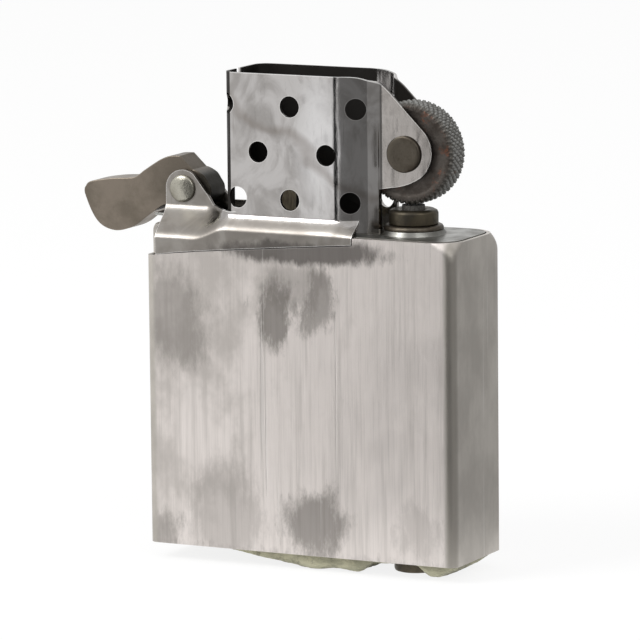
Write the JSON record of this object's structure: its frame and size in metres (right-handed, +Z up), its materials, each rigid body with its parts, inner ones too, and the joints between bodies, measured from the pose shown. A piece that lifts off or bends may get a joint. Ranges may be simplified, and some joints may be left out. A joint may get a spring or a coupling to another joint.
{
  "type": "lighter insert",
  "caption": "Windproof petrol lighter insert: steel tank, perforated windscreen, cam lever, knurled spark wheel, sprung flint, wick, packing and felt pad.",
  "frame": {"origin": "middle of the insert's underside, on the flat of the felt", "axes": "+Z up through the windscreen, +X towards the spark wheel, -Y towards the front"},
  "size_m": [0.0455, 0.0116, 0.0523],
  "materials": {
    "tank_steel": "satin plated sheet, finely scratched lengthwise, smudged",
    "plate_steel": "dull grey plated sheet with fuel film",
    "screen_steel": "polished plated sheet, soot inside",
    "cam_steel": "brown-grey worn steel",
    "rivet_steel": "bright domed head",
    "spring_steel": "grey spring steel",
    "wheel_steel": "hardened steel with rust in the knurl",
    "aged_steel": "brown oxidised steel",
    "tarnished_brass": "dark tarnished brass",
    "flint_alloy": "pressed ferrocerium",
    "wick_cotton": "woven cotton, charred at the top",
    "copper_wire": "dull copper",
    "packing_cotton": "loose cotton",
    "felt": "compressed wool felt, yellowed and oily"
  },
  "bodies": {
    "insert": {"tank_shell": "tank_steel", "top_plate": "plate_steel", "windscreen": "screen_steel", "cam_rivet": "rivet_steel", "cam_spring": "spring_steel", "cam_spring_rivet": "rivet_steel", "wheel_rivet": "aged_steel", "flint_tube": "tarnished_brass", "flint_tube_collar": "aged_steel", "wick": "wick_cotton", "wick_core": "copper_wire", "packing_ball_1": "packing_cotton", "packing_ball_2": "packing_cotton", "packing_ball_3": "packing_cotton", "packing_ball_4": "packing_cotton", "packing_ball_5": "packing_cotton", "felt_pad": "felt"},
    "cam": {"cam": "cam_steel"},
    "spark_wheel": {"spark_wheel": "wheel_steel"},
    "spring_carrier": {"flint_spring": "spring_steel"},
    "flint_screw": {"flint_screw": "tarnished_brass"},
    "flint_stack": {"flint": "flint_alloy", "flint_pusher": "tarnished_brass"},
    "felt_flap": {"felt_flap": "felt"}
  },
  "joints": [
    {"name": "cam_pivot", "type": "hinge", "parent": "insert", "child": "cam", "pos_m": [-0.01531, 0, 0.03932], "axis": [0, 1, 0], "range_deg": [0, 50]},
    {"name": "wheel_spin", "type": "hinge", "parent": "insert", "child": "spark_wheel", "pos_m": [0.01072, 0, 0.04426], "axis": [0, 1, 0], "continuous": true},
    {"name": "flint_screw_travel", "type": "slide", "parent": "insert", "child": "spring_carrier", "axis": [0, 0, -1], "range_m": [0, 0.005]},
    {"name": "flint_screw_turn", "type": "hinge", "parent": "spring_carrier", "child": "flint_screw", "pos_m": [0.01072, 0, 0], "axis": [0, 0, -1], "range_deg": [0, 3610]},
    {"name": "flint_feed", "type": "slide", "parent": "spring_carrier", "child": "flint_stack", "axis": [0, 0, -1], "range_m": [0, 0.003], "stiffness_N_per_m": 150, "springref_m": -0.008, "deforming": ["flint_spring"]},
    {"name": "felt_flap_lift", "type": "hinge", "parent": "insert", "child": "felt_flap", "pos_m": [0.0056, 0, 0], "axis": [0, -1, 0], "range_deg": [0, 60]}
  ],
  "couplings": [
    {"joint": "flint_screw_turn", "follows": "flint_screw_travel", "rad_per_m": 12566}
  ]
}
